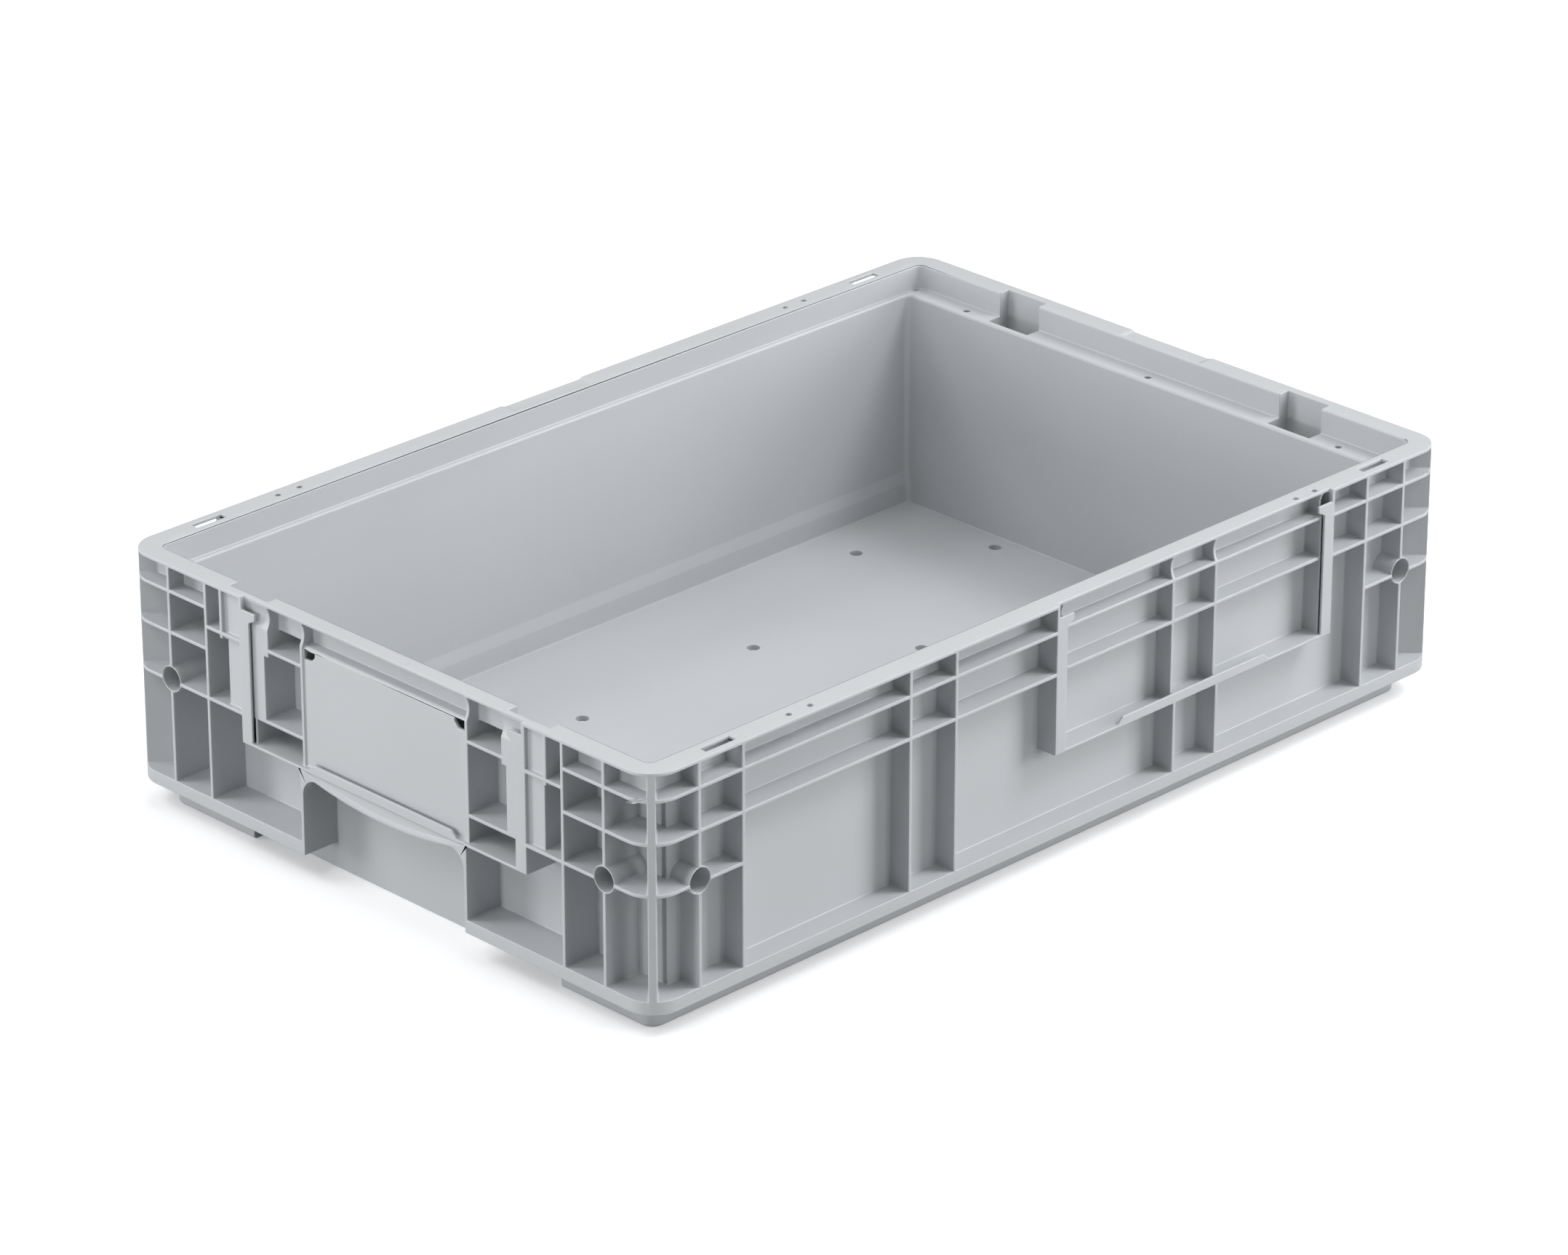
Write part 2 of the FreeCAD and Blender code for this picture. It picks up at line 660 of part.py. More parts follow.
def open_card_holders():
    side_low = f"({SIDE_CARD_LOW} - post_width + side_post_rib)"
    side_high = f"({SIDE_CARD_HIGH} + post_width - side_post_rib)"
    end_low, end_high = f"-({END_POST} - end_post_rib)", f"({END_POST} - end_post_rib)"
    lip_middle = f"(({SIDE_CARD_LOW} + {SIDE_CARD_HIGH}) / 2 - side_lip_shift)"
    side_lip = (f"({lip_middle} - side_lip_width / 2)",
                f"({lip_middle} + side_lip_width / 2)", "side_lip_height")
    end_lip = ("-end_lip_width / 2", "end_lip_width / 2", "end_lip_height")
    side_window = side_view("side_window", NEAR, "-overcut")
    window(side_window, SIDE_CARD_LOW, SIDE_CARD_HIGH, side_low, side_high, SIDE_RAIL_TOP, side_lip)
    take(side_window, "card_inset + overcut", True)
    end_window = end_view("end_window", NEAR, "-overcut")
    window(end_window, f"-{END_CARD}", END_CARD, end_low, end_high, END_RAIL_TOP, end_lip)
    take(end_window, "card_inset + overcut")
    side_slot = side_view("side_card_slot", NEAR, "plate_thickness")
    rectangle(side_slot, side_low, side_high, SIDE_RAIL_TOP, PAST_TOP)
    take(side_slot, "card_inset - plate_thickness", True)
    end_slot = end_view("end_card_slot", NEAR, "plate_thickness")
    rectangle(end_slot, end_low, end_high, END_RAIL_TOP, PAST_TOP)
    take(end_slot, "card_inset - plate_thickness")


def hollow_box():
    """The room inside with its sloped step, the mouth, and eased edges to both."""
    floor_y = f"({INNER_Y} - slope_inset)"
    low = plan("room_floor_outline", "floor_thickness")
    rounded_rectangle(low, INNER_X, floor_y, "inner_radius")
    slope = doc.addObject("Part::Loft", "sloped_step")
    sections = []
    for name, level, half_y in (("slope_bottom", "slope_low", floor_y), ("slope_top", "slope_high", INNER_Y)):
        outline = plan(name, level)
        rounded_rectangle(outline, INNER_X, half_y, "inner_radius")
        sections.append(outline)
    slope.Sections = sections
    slope.Solid = True
    slope.Ruled = True
    room = plan("room_outline", "slope_high")
    rounded_rectangle(room, INNER_X, INNER_Y, "inner_radius")
    mouth = plan("mouth_room_outline", LEDGE)
    rounded_rectangle(mouth, MOUTH_X, MOUTH_Y, "mouth_radius")
    above = plan("space_above", "box_height")
    rounded_rectangle(above, HALF_LENGTH, HALF_WIDTH, "corner_radius")
    space = join("box_space", [
        extrude(low, "slope_low - floor_thickness"), slope,
        extrude(room, f"{LEDGE} - slope_high"),
        extrude(mouth, "ledge_drop"),
        extrude(above, "overcut"),
    ])
    voids.append(ease_edges("box_room", space, [
        (LEDGE, INNER_X, INNER_Y, "ledge_chamfer"),
        ("box_height", MOUTH_X, MOUTH_Y, "flange_chamfer"),
    ]))


def hollow_skirt():
    """Core the skirt and the foot from below, leaving a shelf and a lip."""
    channel = plan("skirt_channel", "foot_height")
    inside = f"({HALF_WIDTH} - skirt_wall)"
    inside_end = f"({HALF_LENGTH} - skirt_wall)"
    reach = f"({HALF_LENGTH} - corner_radius)"
    cores = plan("foot_cores", "0")
    for side in BOTH:
        rectangle(channel, f"-{reach}", reach, f"{side} * {FOOT_Y}", f"{side} * {inside}")
        for half in BOTH:
            polygon(channel, [
                (f"{side} * {END_PANEL}", f"{half} * {GRIP_SIDE}"),
                (f"{side} * {inside_end}", f"{half} * {GRIP_SIDE}"),
                (f"{side} * {inside_end}", f"{half} * ({HALF_WIDTH} - corner_radius)"),
                (f"{side} * {FOOT_X}", f"{half} * ({HALF_WIDTH} - corner_radius)"),
                (f"{side} * {FOOT_X}", f"{half} * foot_gap / 2"),
                (f"{side} * {END_PANEL}", f"{half} * foot_gap / 2"),
            ])
            rectangle(cores, f"{side} * {END_PANEL}", f"{side} * ({FOOT_X} - core_wall)",
                      f"{half} * (foot_gap / 2 + core_wall)",
                      f"{half} * ({FOOT_Y} - foot_radius)")
    take(channel, "skirt_height - shelf_thickness")
    take(cores, SKIRT_UNDER)


def open_pockets():
    """Sink the gripper pockets from the flange down past the ledge."""
    wide = plan("pocket_mouths", f"{POCKET_STEP} + shelf_thickness")
    deep = plan("pocket_wells", f"{LOWER_SHELF} + shelf_thickness")
    back = f"({HALF_LENGTH} - pocket_back_inset)"
    front = f"({HALF_LENGTH} - pocket_front_inset)"
    for end in BOTH:
        for half in BOTH:
            rectangle(wide, f"{end} * {back}", f"{end} * {front}",
                      f"{half} * pocket_near", f"{half} * pocket_far")
            rectangle(deep, f"{end} * {back}", f"{end} * {front}",
                      f"{half} * pocket_lower_near", f"{half} * pocket_lower_far")
    take(wide, "pocket_step_drop - shelf_thickness + overcut")
    take(deep, f"{POCKET_STEP} - {LOWER_SHELF} + overcut")


def open_grips():
    """Hollow the middle of each short side, open to below and under the arch."""
    hollow = plan("grip_hollow", GRIP_OPEN)
    crown = plan("crown_gap", LEDGE)
    face = plan("panel_recess", END_RAIL_TOP)
    for end in BOTH:
        panel_front = f"{end} * ({HALF_LENGTH} - panel_inset)"
        panel_back = f"{end} * ({HALF_LENGTH} - panel_inset - panel_thickness)"
        past = f"{end} * ({HALF_LENGTH} + overcut)"
        rectangle(hollow, f"{end} * {END_PANEL}", panel_back, f"-{GRIP_HALF}", GRIP_HALF)
        rectangle(crown, f"{end} * {END_MOUTH}", past, f"-{GRIP_HALF}", GRIP_HALF)
        rectangle(face, panel_front, f"{end} * {HOLDER_FRONT}", f"-{GRIP_HALF}", GRIP_HALF)
    take(hollow, f"{LEDGE_UNDER} - {GRIP_OPEN}")
    take(crown, "ledge_drop - flange_thickness")
    take(face, f"{FLANGE_UNDER} - {END_RAIL_TOP}")
    for end in BOTH:
        open_arch(end)
        round_panel_top(end)


def open_arch(end):
    """The arched opening of one grip, the recess above its bead, and the panel's two holes."""
    depth = "panel_inset + panel_thickness + overcut"
    low = f"({END_RAIL} - arch_drop)"
    rise = "(arch_radius - sqrt(arch_radius ^ 2 - (arch_corner_width / 2) ^ 2))"
    shoulder = f"({low} + {rise})"
    drop = f"({shoulder} - arch_corner_drop)"
    arch = end_view(f"arch_{end + 1}", end, "-overcut")
    curved_outline(arch, [
        (f"-{GRIP_HALF}", GRIP_OPEN),
        (GRIP_HALF, GRIP_OPEN),
        (GRIP_HALF, drop),
        ("arch_corner_width / 2", shoulder),
        ("-arch_corner_width / 2", shoulder),
        (f"-{GRIP_HALF}", drop),
    ], {2: ("arch_corner_radius", True), 3: ("arch_radius", False), 4: ("arch_corner_radius", True)})
    take(arch, f"{depth} + overcut", end == FAR)
    half = "(apron_width / 2)"
    sag = "(arch_drop - bead_height)"
    apron = end_view(f"apron_{end + 1}", end, "-overcut")
    curved_outline(apron, [(f"-{half}", END_RAIL), (half, END_RAIL)],
                   {0: (f"(({half} ^ 2 + {sag} ^ 2) / (2 * {sag}))", True)})
    take(apron, "apron_inset + overcut", end == FAR)
    vent_high = "(box_height - vent_drop)"
    vent_low = f"({vent_high} - vent_height)"
    holes = end_view(f"vents_{end + 1}", end)
    for side in BOTH:
        polygon(holes, [
            (f"{side} * (vent_inner + vent_slant)", vent_low),
            (f"{side} * vent_outer", vent_low),
            (f"{side} * vent_outer", vent_high),
            (f"{side} * vent_inner", vent_high),
            (f"{side} * vent_inner", f"{vent_low} + vent_slant"),
        ])
    take(holes, depth, end == FAR)


def round_panel_top(end):
    """Round the grip panel over into the ledge above it."""
    front = f"({HALF_LENGTH} - panel_inset)"
    corner = new_sketch(f"panel_round_{end + 1}", FreeCAD.Rotation(FreeCAD.Vector(1, 0, 0), 90),
                        "y", GRIP_HALF)
    curved_outline(corner, [
        (f"{end} * {front}", LEDGE),
        (f"{end} * ({front} - panel_round)", LEDGE),
        (f"{end} * {front}", f"{LEDGE} - panel_round"),
    ], {1: ("panel_round", end == NEAR)})
    take(corner, "grip_width")


def scoop_ribs():
    """Hollow the ribs behind the card windows so that fingers reach a card's top edge."""
    half = "((ledge_drop - flange_thickness) / 2)"
    radius = f"(({half} ^ 2 + finger_scoop ^ 2) / (2 * finger_scoop))"
    side = new_sketch("side_scoop", FreeCAD.Rotation(0.5, 0.5, 0.5, 0.5), "x",
                      f"{SIDE_CARD_LOW} - post_width + side_post_rib")
    front = f"-({HALF_WIDTH} - card_inset)"
    curved_outline(side, [(front, LEDGE), (front, FLANGE_UNDER)], {0: (radius, True)})
    take(side, "side_card_width + 2 * post_width - 2 * side_post_rib")
    end = new_sketch("end_scoop", FreeCAD.Rotation(FreeCAD.Vector(1, 0, 0), 90), "y",
                     f"{END_POST} - end_post_rib")
    front = f"-{HOLDER_FRONT}"
    curved_outline(end, [(front, LEDGE), (front, FLANGE_UNDER)], {0: (radius, True)})
    take(end, f"2 * ({END_POST} - end_post_rib)")


def drill_holes():
    """Drains in the floor, holes in the ledge, slots and pin holes in the flange."""
    drain_places = [
        ("first_drain_along", "first_drain_across"),
        ("second_drain_along", "second_drain_across"),
        (f"({INNER_X} - third_drain_from_end)", f"({INNER_Y} - third_drain_from_side)"),
        (f"({INNER_X} - fourth_drain_from_end)", f"({INNER_Y} - fourth_drain_from_side)"),
    ]
    drains = plan("drain_plan", "0")
    ledge = plan("ledge_hole_plan", LEDGE_UNDER)
    flange = plan("flange_hole_plan", FLANGE_UNDER)
    ledge_y = f"({INNER_Y} - ledge_hole_from_side)"
    slot_y = f"({HALF_WIDTH} - slot_inset)"
    slot_x = f"({HALF_LENGTH} - slot_from_end)"
    for end in BOTH:
        ledge_x = f"{end} * ({INNER_X} + ledge_hole_inset)"
        circle(ledge, ledge_x, "0", "ledge_hole_diameter")
        for side in BOTH:
            circle(ledge, ledge_x, f"{side} * {ledge_y}", "ledge_hole_diameter")
            for along, across in drain_places:
                circle(drains, f"{end} * {along}", f"{side} * {across}", "drain_diameter")
            rectangle(flange, f"{end} * {slot_x} - slot_length / 2", f"{end} * {slot_x} + slot_length / 2",
                      f"{side} * {slot_y} - slot_width / 2", f"{side} * {slot_y} + slot_width / 2")
            for from_end in ("outer_pin_hole_from_end", "inner_pin_hole_from_end"):
                circle(flange, f"{end} * ({HALF_LENGTH} - {from_end})",
                       f"{side} * ({HALF_WIDTH} - pin_hole_inset)", "pin_hole_diameter")
    take(drains, "floor_thickness")
    take(ledge, "shelf_thickness")
    take(flange, "flange_thickness")
    for notch in (end_view("end_notch", FAR, "-overcut"), side_view("side_notch", FAR, "-overcut")):
        polygon(notch, [
            ("-notch_width / 2", "box_height"),
            ("-notch_width / 2 + notch_slope", "box_height - notch_depth"),
            ("notch_width / 2 - notch_slope", "box_height - notch_depth"),
            ("notch_width / 2", "box_height"),
        ])
        take(notch, "notch_reach + overcut", notch.Name == "end_notch")


def build():
    build_foot()
    build_shelves()
    build_walls()
    build_ribs()
    build_sockets()
    build_grips()
    build_pocket_boxes()
    build_card_holders()
    hollow_box()
    hollow_skirt()
    open_pockets()
    open_grips()
    open_card_holders()
    scoop_ribs()
    drill_holes()
    whole = subtract(NODE, join("all_solids", solids), join("all_voids", voids))
    whole.Label = NODE
    whole.Refine = True
    doc.recompute()
    return whole


def check_and_export(whole):
    for item in doc.Objects:
        if "Invalid" in item.State or "Error" in item.State:
            raise RuntimeError(f"{item.Name} failed: {item.State}")
    shape = whole.Shape
    if shape.isNull() or not shape.isValid() or len(shape.Solids) != 1:
        raise RuntimeError("the box isn't one valid solid")
    os.makedirs("parts", exist_ok=True)
    shape.exportStep(f"parts/{NODE}.step")
    box = shape.BoundBox
    print(f"{NODE}: {box.XLength:.1f} x {box.YLength:.1f} x {box.ZLength:.1f} mm, "
          f"{len(shape.Faces)} faces, {shape.Volume / 1000:.0f} cm3")


check_and_export(build())
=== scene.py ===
import math

import bmesh
import bpy
from bpy.props import FloatProperty, FloatVectorProperty, IntProperty
from mathutils import Matrix, Vector


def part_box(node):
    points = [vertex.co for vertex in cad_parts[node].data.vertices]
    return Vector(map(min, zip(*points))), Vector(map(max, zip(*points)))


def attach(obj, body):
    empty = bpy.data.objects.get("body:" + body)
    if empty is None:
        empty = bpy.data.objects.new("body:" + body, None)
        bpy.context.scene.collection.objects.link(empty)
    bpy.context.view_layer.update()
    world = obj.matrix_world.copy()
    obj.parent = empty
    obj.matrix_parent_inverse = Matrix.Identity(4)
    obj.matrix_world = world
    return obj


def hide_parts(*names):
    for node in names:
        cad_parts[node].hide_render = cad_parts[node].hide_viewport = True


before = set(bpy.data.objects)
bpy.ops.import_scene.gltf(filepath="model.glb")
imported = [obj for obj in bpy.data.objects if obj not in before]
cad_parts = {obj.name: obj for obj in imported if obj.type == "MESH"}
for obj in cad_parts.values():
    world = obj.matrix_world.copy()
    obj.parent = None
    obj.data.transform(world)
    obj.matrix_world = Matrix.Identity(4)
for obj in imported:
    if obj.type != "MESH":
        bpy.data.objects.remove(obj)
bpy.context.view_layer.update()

bl_info = {
    "name": "Load Carrier Box",
    "version": (1, 0, 0),
    "blender": (4, 5, 0),
    "location": "View3D > Sidebar > Carrier",
    "description": "Moulded load carrier box with rounded edges, satin plastic and a pale studio",
    "category": "Object",
}

MM = 0.001
# Corners closer than this are one corner
MERGE = 0.002 * MM
# An edge that turns by more than this was a sharp edge of the tool, and a flatter one on a curve
SHARP = math.radians(10.5)
# A sharp edge that turns by less than this belongs to a chamfer or a slope
CHAMFERED = math.radians(50)
# Faces that meet at less than this share their shading
SMOOTHED = math.radians(50)

# Most of a noise lies between these values, which are stretched over each range that it drives
NOISE_LOW, NOISE_HIGH = 0.3, 0.7
# Size of the slow changes of tone where the melt flowed, and size and depth of the fine grain
FLOW_SIZE = 90 * MM
GRAIN_SIZE = 1.2 * MM
GRAIN_DEPTH = 0.05 * MM
GRAIN_STRENGTH = 0.12
# Refractive index of polypropylene
REFRACTION = 1.49

# White light that the floor and the room add for the camera alone, and the room's light on the box
FLOOR_GLOW = 0.25
ROOM_SEEN, ROOM_LIGHT = 1.0, 0.04

# Middle of the box, which every lamp faces
LAMP_TARGET = (0.0, 0.0, 0.07)
# The studio's soft lamps: name, place and side in metres, power in watts. The low ones light the
# outer walls more than the room inside, and the high ones light the rim and the floor of the box
LAMPS = (
    ("left_softbox", (-2.02, 2.02, 0.93), 1.2, 25.5),
    ("left_softbox_high", (-1.36, 1.36, 2.30), 1.2, 26.0),
    ("left_strip_on_floor", (-2.12, 2.12, 0.26), 0.5, 12.0),
    ("near_left_strip_on_floor", (-3.00, 0.00, 0.26), 0.5, 23.5),
    ("near_left_softbox_high", (-1.93, 0.00, 2.30), 1.2, 18.0),
    ("right_softbox", (2.02, -2.02, 0.93), 1.2, 44.0),
    ("right_softbox_high", (1.36, -1.36, 2.30), 1.2, 50.0),
    ("near_right_softbox", (0.00, -2.85, 0.93), 1.2, 18.0),
    ("near_right_softbox_high", (0.00, -1.93, 2.30), 1.2, 6.5),
    ("overhead_softbox", (0.00, 0.00, 3.00), 1.6, 19.5),
    ("back_softbox_high", (1.36, 1.36, 2.30), 1.2, 6.5),
)

# The photograph's camera, found from the box's own edges
CAMERA_PLACE = (-2298.05 * MM, -2301.37 * MM, 1555.01 * MM)
CAMERA_AZIMUTH = math.radians(-44.8434)
CAMERA_ELEVATION = math.radians(24.5606)
CAMERA_ROLL = math.radians(0.0143)
SENSOR_WIDTH = 36.0
PHOTO_WIDTH = 2156
FOCAL_PIXELS = 9182.7


def to_linear(code):
    """Turn an sRGB hex value into the linear colour that Blender works in."""
    channels = [int(code[i:i + 2], 16) / 255 for i in (0, 2, 4)]
    return [c / 12.92 if c <= 0.04045 else ((c + 0.055) / 1.055) ** 2.4 for c in channels]


def add_node(tree, kind, settings=None, inputs=None):
    """Add one node with its settings, and its inputs as values or as sockets to link from."""
    node = tree.nodes.new(kind)
    for name, value in (settings or {}).items():
        setattr(node, name, value)
    for name, value in (inputs or {}).items():
        socket = node.inputs[name]
        if isinstance(value, bpy.types.NodeSocket):
            tree.links.new(value, socket)
        else:
            socket.default_value = value
    return node


def new_material(name):
    material = bpy.data.materials.new(name)
    material.use_nodes = True
    material.node_tree.nodes.clear()
    return material


class CARRIER_PG_shell(bpy.types.PropertyGroup):
    edge_radius: FloatProperty(
        name="Edge radius",
        description="Rounding on the outer edges of ribs, walls and holes",
        default=0.45 * MM, min=0.0, unit="LENGTH", precision=5)
    root_radius: FloatProperty(
        name="Root radius",
        description="Fillet where a rib or a plate stands on a wall",
        default=0.7 * MM, min=0.0, unit="LENGTH", precision=5)
    easing: FloatProperty(
        name="Easing of chamfers",
        description="Rounding that turns the ledge, foot and flange chamfers into soft edges",
        default=0.75 * MM, min=0.0, unit="LENGTH", precision=5)
    edge_steps: IntProperty(
        name="Edge steps",
        description="Faces across each rounded edge",
        default=2, min=1, max=4)
    plastic: FloatVectorProperty(
        name="Plastic colour",
        description="Light grey of the polypropylene",
        default=to_linear("b5b8bb"), min=0.0, max=1.0, size=3, subtype="COLOR")


class CARRIER_PG_stage(bpy.types.PropertyGroup):
    floor_size: FloatProperty(
        name="Floor size",
        description="Side of the square floor",
        default=30.0, min=1.0, unit="LENGTH")
    floor_colour: FloatVectorProperty(
        name="Floor colour",
        description="Colour of the pale studio floor",
        default=to_linear("f2f3f4"), min=0.0, max=1.0, size=3, subtype="COLOR")
    bounce_colour: FloatVectorProperty(
        name="Bounce colour",
        description="Colour that the floor throws back on the box",
        default=to_linear("acadae"), min=0.0, max=1.0, size=3, subtype="COLOR")


def spread(tree, noise, low, high):
    """Stretch the usual values of a noise over the range from low to high."""
    return add_node(tree, "ShaderNodeMapRange", inputs={
        "Value": noise.outputs["Fac"], "From Min": NOISE_LOW, "From Max": NOISE_HIGH,
        "To Min": low, "To Max": high}).outputs["Result"]


def moulded_polypropylene(colour):
    """Copolymer polypropylene, injection moulded in a spark-eroded steel tool.

    To the eye: light neutral grey, satin, with broad soft highlights, a very fine
    even grain, and slow faint changes of tone where the melt flowed and cooled.
    """
    material = new_material("moulded_polypropylene")
    tree = material.node_tree
    place = add_node(tree, "ShaderNodeTexCoord").outputs["Object"]
    flow = add_node(tree, "ShaderNodeTexNoise", inputs={
        "Vector": place, "Scale": 1 / FLOW_SIZE, "Detail": 2.0})
    speckle = add_node(tree, "ShaderNodeTexNoise", inputs={
        "Vector": place, "Scale": 1 / GRAIN_SIZE, "Detail": 3.0})
    shade = add_node(tree, "ShaderNodeMath", {"operation": "MULTIPLY"}, {
        0: spread(tree, flow, 0.985, 1.015), 1: spread(tree, speckle, 0.99, 1.01)})
    tint = add_node(tree, "ShaderNodeVectorMath", {"operation": "SCALE"}, {
        0: colour, "Scale": shade.outputs["Value"]})
    grain = add_node(tree, "ShaderNodeBump", inputs={
        "Height": speckle.outputs["Fac"], "Strength": GRAIN_STRENGTH, "Distance": GRAIN_DEPTH})
    shader = add_node(tree, "ShaderNodeBsdfPrincipled", inputs={
        "Base Color": tint.outputs["Vector"], "Roughness": spread(tree, speckle, 0.44, 0.5),
        "Normal": grain.outputs["Normal"], "IOR": REFRACTION})
    add_node(tree, "ShaderNodeOutputMaterial", inputs={"Surface": shader.outputs["BSDF"]})
    return material


def merged_copy(node, name):
    """Copy a CAD node's loose triangles into one mesh with shared corners."""
    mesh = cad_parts[node].data.copy()
    mesh.name = name
    work = bmesh.new()
    work.from_mesh(mesh)
    bmesh.ops.remove_doubles(work, verts=work.verts, dist=MERGE)
    work.to_mesh(mesh)
    work.free()
    return mesh


def edge_radius(edge, sizes):
    """Rounding of one edge: none in a flat or on a curve, more in a root and on a chamfer."""
    turn = edge.calc_face_angle(0.0)
    if turn < SHARP:
        return 0.0
    if turn < CHAMFERED:
        return sizes.easing
    return sizes.edge_radius if edge.is_convex else sizes.root_radius


def rounded(mesh, sizes):
    """Round every sharp edge of a mesh by its own radius, and return the new mesh."""
    largest = max(sizes.edge_radius, sizes.root_radius, sizes.easing)
    work = bmesh.new()
    work.from_mesh(mesh)
    weight = work.edges.layers.float.new("bevel_weight_edge")
    for edge in work.edges:
        edge[weight] = edge_radius(edge, sizes) / largest
    work.to_mesh(mesh)
    work.free()
    sharp = bpy.data.objects.new(mesh.name + "_sharp", mesh)
    bpy.context.scene.collection.objects.link(sharp)
    bevel = sharp.modifiers.new("moulded_edges", "BEVEL")
    bevel.width = largest
    bevel.segments = sizes.edge_steps
    bevel.limit_method = "WEIGHT"
    bevel.use_clamp_overlap = False
    bevel.loop_slide = False
    bpy.context.view_layer.update()
    solid = sharp.evaluated_get(bpy.context.evaluated_depsgraph_get())
    result = bpy.data.meshes.new_from_object(solid)
    bpy.data.objects.remove(sharp)
    return result


def keep_inside(mesh, low, high):
    """Bring back inside the box any corner that a rounding pushed past it."""
    for vertex in mesh.vertices:
        vertex.co = [min(max(c, a), b) for c, a, b in zip(vertex.co, low, high)]


class CARRIER_OT_shell(bpy.types.Operator):
    """Mould the box: the whole carrier in one piece, with rounded edges and satin plastic"""
    bl_idname = "carrier.shell"
    bl_label = "Moulded shell"

    def execute(self, context):
        sizes = context.scene.carrier_shell
        mesh = rounded(merged_copy("carrier_box", "moulded_shell"), sizes)
        keep_inside(mesh, *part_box("carrier_box"))
        mesh.name = "moulded_shell"
        mesh.materials.clear()
        mesh.materials.append(moulded_polypropylene(sizes.plastic))
        mesh.shade_smooth()
        mesh.set_sharp_from_angle(angle=SMOOTHED)
        shell = bpy.data.objects.new("moulded_shell", mesh)
        context.scene.collection.objects.link(shell)
        level = shell.modifiers.new("flat_faces_stay_flat", "WEIGHTED_NORMAL")
        level.keep_sharp = True
        level.weight = 100
        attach(shell, "root")
        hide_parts("carrier_box")
        return {"FINISHED"}


def floor_material(colour, bounce):
    """Matt studio floor: white to the camera, with the box's shadow, and darker to the box."""
    material = new_material("studio_floor")
    tree = material.node_tree
    path = add_node(tree, "ShaderNodeLightPath")
    seen = add_node(tree, "ShaderNodeMixRGB", inputs={
        "Fac": path.outputs["Is Camera Ray"], "Color1": (*bounce, 1.0), "Color2": (*colour, 1.0)})
    matt = add_node(tree, "ShaderNodeBsdfDiffuse", inputs={"Color": seen.outputs["Color"]})
    lift = add_node(tree, "ShaderNodeMath", {"operation": "MULTIPLY"}, {
        0: path.outputs["Is Camera Ray"], 1: FLOOR_GLOW})
    glow = add_node(tree, "ShaderNodeEmission", inputs={
        "Color": (1.0, 1.0, 1.0, 1.0), "Strength": lift.outputs["Value"]})
    both = add_node(tree, "ShaderNodeAddShader", inputs={
        0: matt.outputs["BSDF"], 1: glow.outputs["Emission"]})
    add_node(tree, "ShaderNodeOutputMaterial", inputs={"Surface": both.outputs["Shader"]})
    return material


def studio_world():
    """Weak even room light, which the camera sees as plain white."""
    world = bpy.data.worlds.new("studio_room")
    world.use_nodes = True
    tree = world.node_tree
    tree.nodes.clear()
    path = add_node(tree, "ShaderNodeLightPath")
    level = add_node(tree, "ShaderNodeMapRange", inputs={
        "Value": path.outputs["Is Camera Ray"], "To Min": ROOM_LIGHT, "To Max": ROOM_SEEN})
    room = add_node(tree, "ShaderNodeBackground", inputs={
        "Color": (1.0, 1.0, 1.0, 1.0), "Strength": level.outputs["Result"]})
    add_node(tree, "ShaderNodeOutputWorld", inputs={"Surface": room.outputs["Background"]})
    bpy.context.scene.world = world


def aim(thing, place, target):
    thing.location = place
    thing.rotation_euler = (Vector(target) - Vector(place)).to_track_quat("-Z", "Y").to_euler()


def soft_light(name, place, side, power):
    light = bpy.data.lights.new(name, "AREA")
    light.shape = "SQUARE"
    light.size = side
    light.energy = power
    lamp = bpy.data.objects.new(name, light)
    bpy.context.scene.collection.objects.link(lamp)
    aim(lamp, place, LAMP_TARGET)


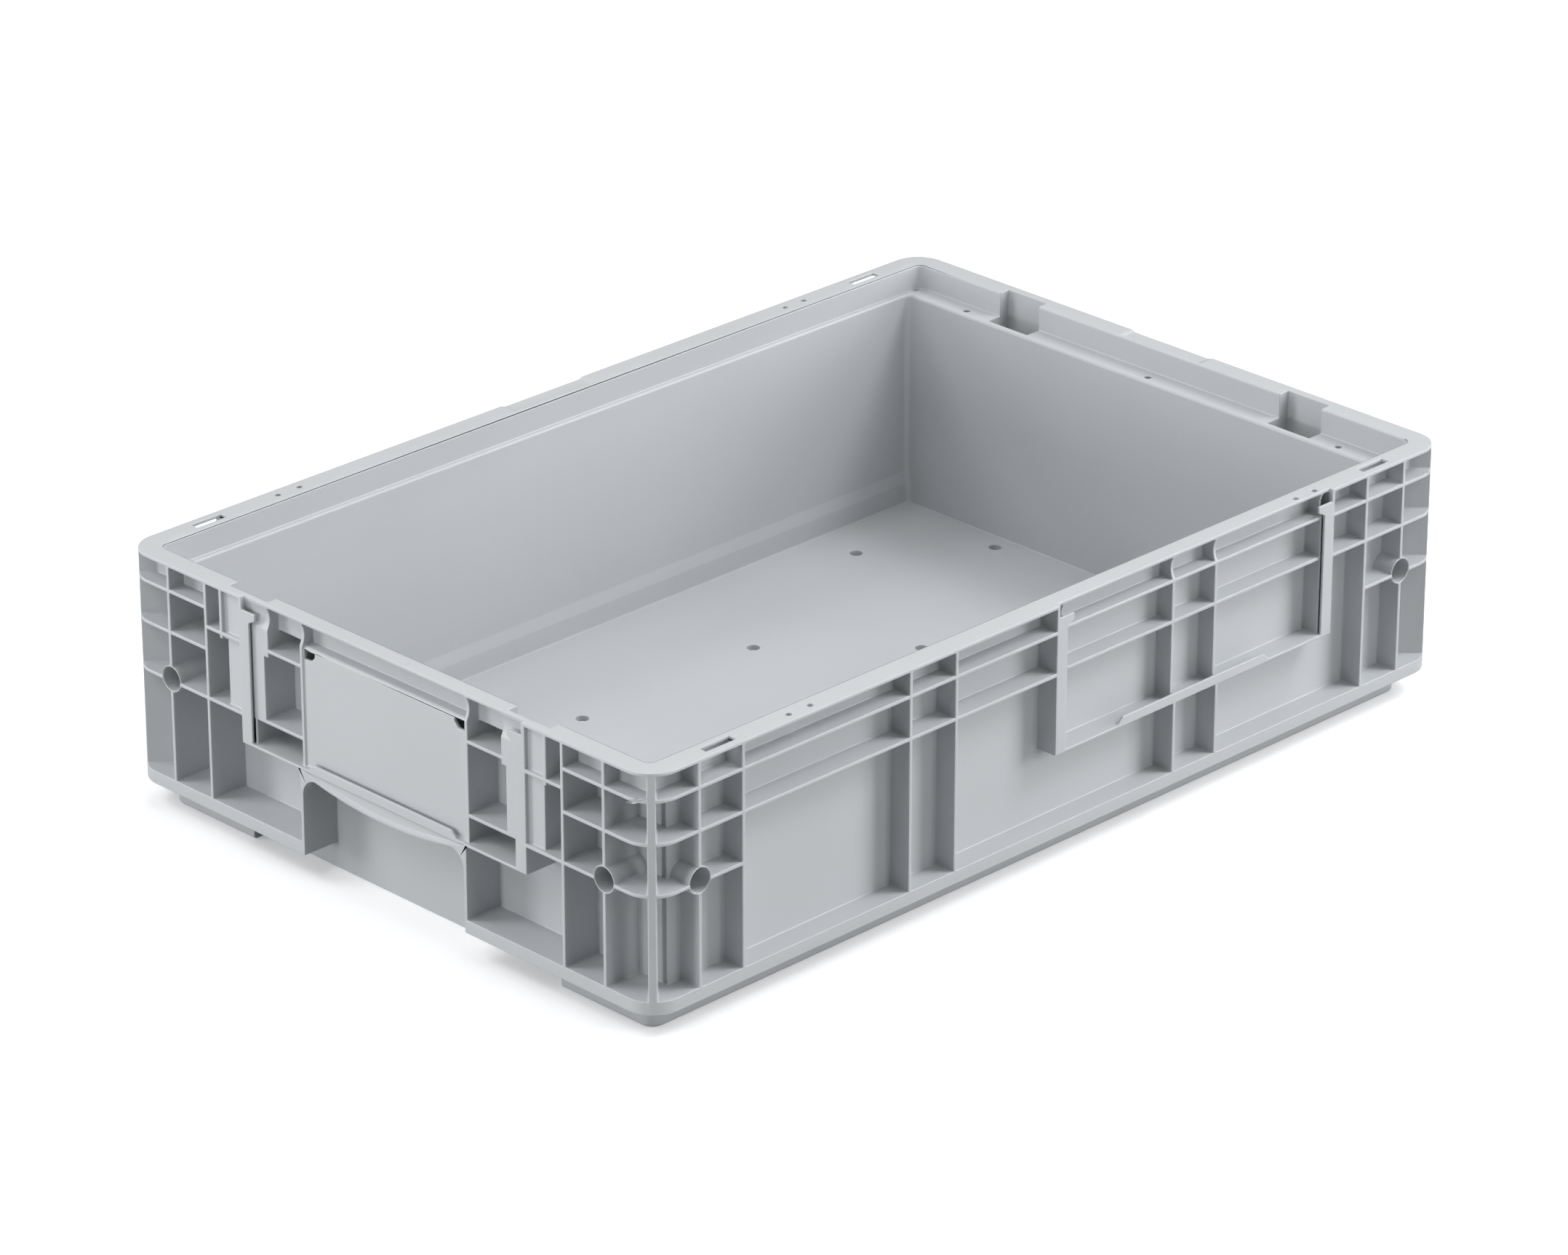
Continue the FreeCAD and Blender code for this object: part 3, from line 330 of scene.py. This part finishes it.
def photo_camera():
    """Camera of the photograph: 45 degrees to the corner, 25 degrees above the floor."""
    across = Vector((math.cos(CAMERA_AZIMUTH), math.sin(CAMERA_AZIMUTH), 0.0))
    back = Vector((
        math.sin(CAMERA_AZIMUTH) * math.cos(CAMERA_ELEVATION),
        -math.cos(CAMERA_AZIMUTH) * math.cos(CAMERA_ELEVATION),
        math.sin(CAMERA_ELEVATION)))
    roll = Matrix.Rotation(CAMERA_ROLL, 3, back)
    data = bpy.data.cameras.new("photo_camera")
    data.sensor_fit = "HORIZONTAL"
    data.sensor_width = SENSOR_WIDTH
    data.lens = FOCAL_PIXELS / PHOTO_WIDTH * SENSOR_WIDTH
    data.clip_start = 0.1
    data.clip_end = 60.0
    data.dof.use_dof = False
    camera = bpy.data.objects.new("photo_camera", data)
    bpy.context.scene.collection.objects.link(camera)
    axes = Matrix((roll @ across, roll @ back.cross(across), back)).transposed()
    camera.matrix_world = Matrix.Translation(CAMERA_PLACE) @ axes.to_4x4()
    bpy.context.scene.camera = camera


class CARRIER_OT_stage(bpy.types.Operator):
    """Set the stage: pale floor, weak room light, soft lamps and the camera"""
    bl_idname = "carrier.stage"
    bl_label = "Studio stage"

    def execute(self, context):
        sizes = context.scene.carrier_stage
        half = sizes.floor_size / 2
        mesh = bpy.data.meshes.new("studio_floor")
        mesh.from_pydata(
            [(-half, -half, 0), (half, -half, 0), (half, half, 0), (-half, half, 0)],
            [], [(0, 1, 2, 3)])
        floor = bpy.data.objects.new("studio_floor", mesh)
        context.scene.collection.objects.link(floor)
        mesh.materials.append(floor_material(sizes.floor_colour, sizes.bounce_colour))
        studio_world()
        for lamp in LAMPS:
            soft_light(*lamp)
        photo_camera()
        context.scene.view_settings.view_transform = "Standard"
        return {"FINISHED"}


class CARRIER_PT_panel(bpy.types.Panel):
    """Sizes, colours and steps of the load carrier box"""
    bl_idname = "CARRIER_PT_panel"
    bl_label = "Load Carrier Box"
    bl_space_type = "VIEW_3D"
    bl_region_type = "UI"
    bl_category = "Carrier"

    def draw(self, context):
        column = self.layout.column()
        for name in ("carrier_shell", "carrier_stage"):
            group = getattr(context.scene, name)
            for key in group.__annotations__:
                column.prop(group, key)
        for step in STEPS:
            column.operator(step.bl_idname)


STEPS = (CARRIER_OT_shell, CARRIER_OT_stage)
GROUPS = {"carrier_shell": CARRIER_PG_shell, "carrier_stage": CARRIER_PG_stage}


def register():
    for kind in (*GROUPS.values(), *STEPS, CARRIER_PT_panel):
        bpy.utils.register_class(kind)
    for name, group in GROUPS.items():
        setattr(bpy.types.Scene, name, bpy.props.PointerProperty(type=group))


def unregister():
    for name in GROUPS:
        delattr(bpy.types.Scene, name)
    for kind in reversed((*GROUPS.values(), *STEPS, CARRIER_PT_panel)):
        bpy.utils.unregister_class(kind)


def main():
    register()
    bpy.ops.carrier.shell()
    bpy.ops.carrier.stage()


if __name__ == "__main__":
    main()
